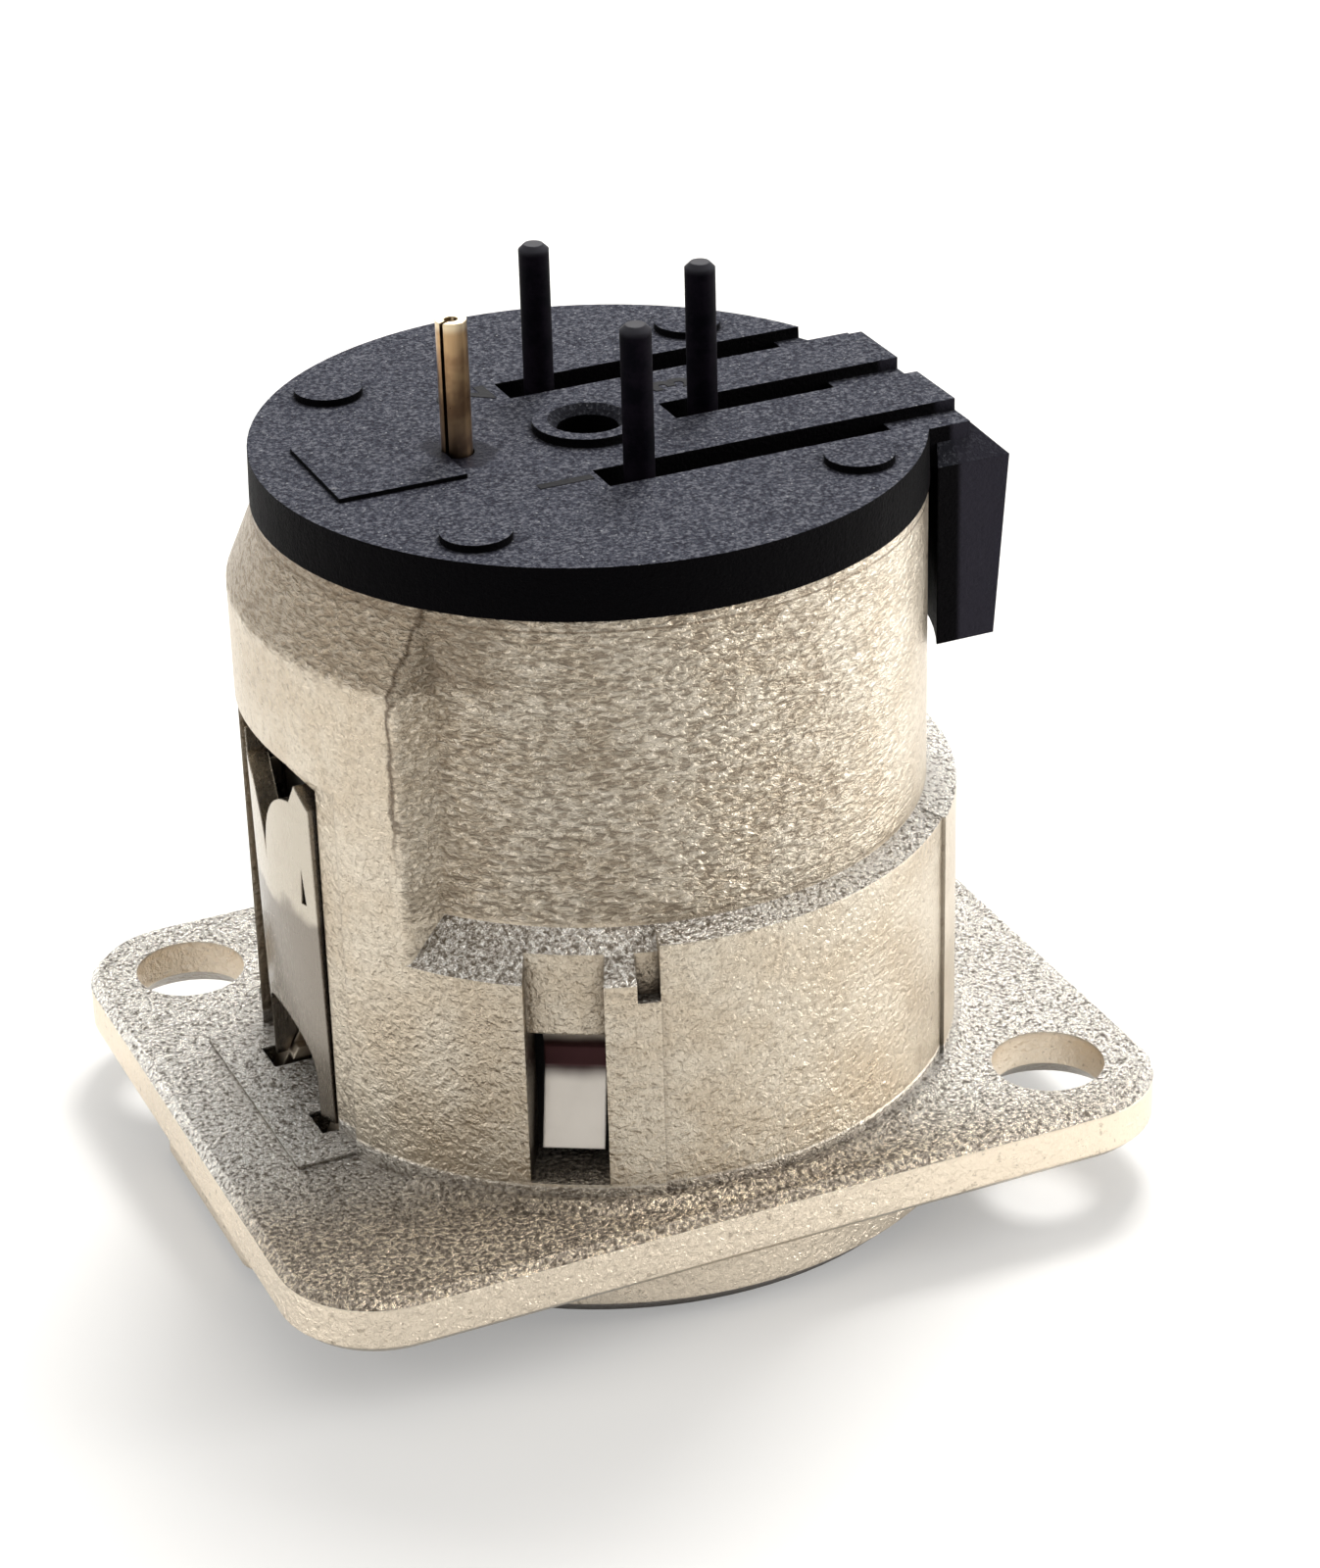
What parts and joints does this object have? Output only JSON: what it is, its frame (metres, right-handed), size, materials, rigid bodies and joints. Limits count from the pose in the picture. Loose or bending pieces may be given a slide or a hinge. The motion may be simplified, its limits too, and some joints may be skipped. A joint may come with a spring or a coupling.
{
  "type": "xlr panel socket",
  "caption": "Panel-mount round socket with a rectangular flange, a stepped metal barrel, a sprung latch with its push button, and straight pins for a circuit board.",
  "frame": {"origin": "on the mating axis, in the plane of the front collar's end", "axes": "+Z along the mating axis from the mating side to the board side, -X towards the latch and its push button, +X towards the rear cover's side block"},
  "size_m": [0.031, 0.026, 0.0308],
  "materials": {
    "plated_casting": "satin nickel plate on a zinc casting, grainy in places",
    "button_casting": "satin nickel plate on a zinc casting",
    "black_moulding": "matte black moulding",
    "grey_black_moulding": "matte grey-black moulding with a fine speckle",
    "contact_plating": "dark plating on brass",
    "gold_plating": "gold plate",
    "bright_strip": "bright rolled strip",
    "latch_steel": "polished sheet with darker edges",
    "spring_steel": "spring strip"
  },
  "bodies": {
    "housing": {"shell": "plated_casting", "contact_carrier": "black_moulding", "rear_cover": "grey_black_moulding", "contact_1": "contact_plating", "contact_2": "contact_plating", "contact_3": "contact_plating", "ground_pin": "gold_plating", "ground_spring": "bright_strip", "latch_spring": "spring_steel"},
    "latch_lever": {"latch": "latch_steel"},
    "release_button": {"push_button": "button_casting"}
  },
  "joints": [
    {"name": "button_press", "type": "slide", "parent": "housing", "child": "release_button", "axis": [0, 0, 1], "range_m": [0, 0.0012], "stiffness_N_per_m": 4000, "springref_m": -0.0004},
    {"name": "latch_swing", "type": "hinge", "parent": "housing", "child": "latch_lever", "pos_m": [-0.01035, 0, 0.015], "axis": [0, 1, 0], "range_deg": [0, 3.7]}
  ],
  "couplings": [
    {"joint": "latch_swing", "follows": "button_press", "rad_per_m": 53.53}
  ]
}
